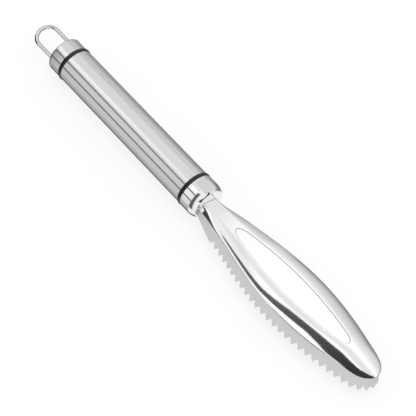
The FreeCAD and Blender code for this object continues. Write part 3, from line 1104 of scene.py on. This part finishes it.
# %% [markdown]
# Above and right of the handle is a white ceiling. Behind the handle it is greyer, more so towards its
# far side, and over the rest of it runs one soft grey edge. The left side takes over for all directions
# that look left or down.

# %% Ceiling of the studio
CEILING = 1.12
CEILING_BEHIND = 0.93
FAR_CEILING_BEHIND = 0.74
EDGE_DARKNESS = 0.25
near_ceiling = ramp(along, -0.4, -0.37, CEILING_BEHIND, CEILING)
far_ceiling = ramp(along, -0.4, -0.37, FAR_CEILING_BEHIND, CEILING)
over_light = blend(near_ceiling, far_ceiling, over(across, 0.3, 0.5))
grey_edge = both(band(across, 0.45, 0.55, 0.06), over(up, 0.4, 0.6))
over_light = darken(over_light, both(grey_edge, over(along, -0.4, -0.36)), EDGE_DARKNESS)
left_share = combine("MAXIMUM", under(across, -0.45, -0.2), under(up, -0.3, 0.0))
studio = blend(over_light, left_light, left_share)
print("light levels of the ceiling:", FAR_CEILING_BEHIND, "to", CEILING)

# %% [markdown]
# Right of the handle the light falls off towards the table, and more so beside the head and far to the
# right. Ahead of the tip and low down it stays bright, as a table does that lies in the light.

# %% Right side of the studio
LOW_DARKNESS = 0.5
FAR_DARKNESS = 0.3
low_by_head = both(over(along, -0.4, -0.34), under(up, 0.1, 0.6))
far_right = both(over(across, 0.64, 0.82), ramp(along, -0.42, -0.36, 0.35, 1.0))
bright_table = both(over(along, 0.1, 0.3), under(up, -0.5, -0.3))
fall_off = both(ramp(up, -0.1, 0.5, 0.62, 1.0), ramp(up, -0.8, -0.35, 0.3, 1.0))
fall_off = darken(fall_off, low_by_head, LOW_DARKNESS)
fall_off = darken(fall_off, far_right, FAR_DARKNESS)
fall_off = blend(fall_off, 1.0, bright_table)
studio = both(studio, blend(1.0, fall_off, over(across, -0.1, 0.2)))
print("the studio is made of", len(sky.nodes), "nodes")

# %% World
seen_by_mirror = add_node(sky, "ShaderNodeBackground", {"Color": studio})
plain_white = add_node(sky, "ShaderNodeBackground", Color=(1, 1, 1, 1), Strength=1.0)
sky_ray = add_node(sky, "ShaderNodeLightPath")
sky_mix = add_node(
    sky, "ShaderNodeMixShader",
    {0: sky_ray.outputs["Is Glossy Ray"], 1: plain_white.outputs[0], 2: seen_by_mirror.outputs[0]})
world_output = sky.nodes.new("ShaderNodeOutputWorld")
sky.links.new(sky_mix.outputs[0], world_output.inputs["Surface"])
print("the world is", world.name)

# %% [markdown]
# A black paper card hangs 112 mm above the table, about 0.1 m above the head, and only mirrors see it.
# Its cut edge draws the dark band along the left side of the polished shell: thin near the neck, broad
# at the tip. It has a near and a far edge at each station and is a little lighter over the neck.

# %% Black card
CARD_HEIGHT = 0.112
CARD_STATIONS = [
    (-34, -9, 4), (-26, -8, 12), (-10, -16, 13), (8, -32, 9), (16, -26, 10), (27, -14, 20), (33, -10, 26),
    (38, -5, 31), (48, 0, 33), (60, 3, 31), (71, -8, 27), (76, -14, 26), (92, -50, 26), (111, -72, 34),
    (120, -160, 42), (200, -420, 80), (356, -450, 130), (450, -500, 160),
]
NECK_GLOW = 0.12
TIP_GLOW = 0.035
NECK_GLOW_X = 0.01
TIP_GLOW_X = 0.1


def glow_for_mirrors(piece, paper_name):
    """Let a card glow by itself and show only in reflections."""
    material, tree, output = new_material(paper_name)
    glow = add_node(tree, "ShaderNodeEmission")
    set_shader(tree, output, glow)
    piece.data.materials.append(material)
    for rays in ("camera", "diffuse", "shadow", "transmission"):
        setattr(piece, "visible_" + rays, False)
    return tree, glow


card_points = []
for x, near_y, far_y in CARD_STATIONS:
    card_points += [(x * MM, near_y * MM, 0), (x * MM, far_y * MM, 0)]
card_faces = [(2 * i, 2 * i + 2, 2 * i + 3, 2 * i + 1) for i in range(len(CARD_STATIONS) - 1)]
card = new_piece("black_card", card_points, [], card_faces)
card.location.z = CARD_HEIGHT
card_tree, card_light = glow_for_mirrors(card, "black paper")
card_place = add_node(card_tree, "ShaderNodeTexCoord").outputs["Object"]
card_x = add_node(card_tree, "ShaderNodeSeparateXYZ", {0: card_place}).outputs["X"]
card_glow = add_node(
    card_tree, "ShaderNodeMapRange", {"Value": card_x},
    From_Min=NECK_GLOW_X, From_Max=TIP_GLOW_X, To_Min=NECK_GLOW, To_Max=TIP_GLOW)
card_tree.links.new(card_glow.outputs[0], card_light.inputs["Strength"])
print("the black card has", len(card_faces), "faces")

# %% [markdown]
# The ferrule's rim would mirror the black card too, but in the photo its top is light. A small white
# card just above the rim stands between the two.

# %% White card
WHITE_CARD_PLACE = (0.0025, 0.007, 0.024)
WHITE_CARD_LENGTH = 0.013
WHITE_CARD_GLOW = 0.85
bpy.ops.object.select_all(action="DESELECT")
bpy.ops.mesh.primitive_plane_add(size=WHITE_CARD_LENGTH, location=WHITE_CARD_PLACE)
white_card = bpy.context.object
for vertex in white_card.data.vertices:
    vertex.co.y *= 2
white_card.name = "white_card"
white_tree, white_light = glow_for_mirrors(white_card, "white paper")
white_light.inputs["Strength"].default_value = WHITE_CARD_GLOW
print("the white card is", WHITE_CARD_LENGTH, "m long and twice as wide")

# %% [markdown]
# One broad soft lamp stands high on the left and aims at the object. It gives the light its direction
# and the shadow its side. Mirrors don't see it, because the studio has its own lamp strip.

# %% Soft lamp
LAMP_PLACE = (-0.1, -0.9, 0.9)
LAMP_SIZE = 0.8
LAMP_WATTS = 2.0
bpy.ops.object.light_add(type="AREA", location=LAMP_PLACE)
lamp = bpy.context.object
lamp.name = "soft lamp"
lamp.data.shape = "SQUARE"
lamp.data.size = LAMP_SIZE
lamp.data.energy = LAMP_WATTS
lamp.rotation_euler = (Vector((0, 0, 0)) - lamp.location).to_track_quat("-Z", "Y").to_euler()
lamp.visible_glossy = False
print("the lamp stands", round(lamp.location.length, 2), "m from the middle")

# %% [markdown]
# The camera stands where the photo was taken from: beyond the tip and high on the left, looking back
# at the handle, with a long lens that keeps the handle nearly as wide as it is near the head. Its
# place, turn and lens were fitted to the outline of the object in the photo.

# %% Camera
CAMERA_LENS_MM = 142.79
CAMERA_PLACE = (0.28472, -0.4522, 0.52385)
CAMERA_TURN_DEG = (43.37968, -16.29356, 48.05988)
camera_data = bpy.data.cameras.new("camera")
camera_data.lens = CAMERA_LENS_MM
camera = bpy.data.objects.new("camera", camera_data)
bpy.context.collection.objects.link(camera)
camera.location = CAMERA_PLACE
camera.rotation_euler = [math.radians(turn) for turn in CAMERA_TURN_DEG]
bpy.context.scene.camera = camera
bpy.context.scene.view_settings.view_transform = "Standard"
print("the camera stands", round(camera.location.length, 2), "m from the middle")
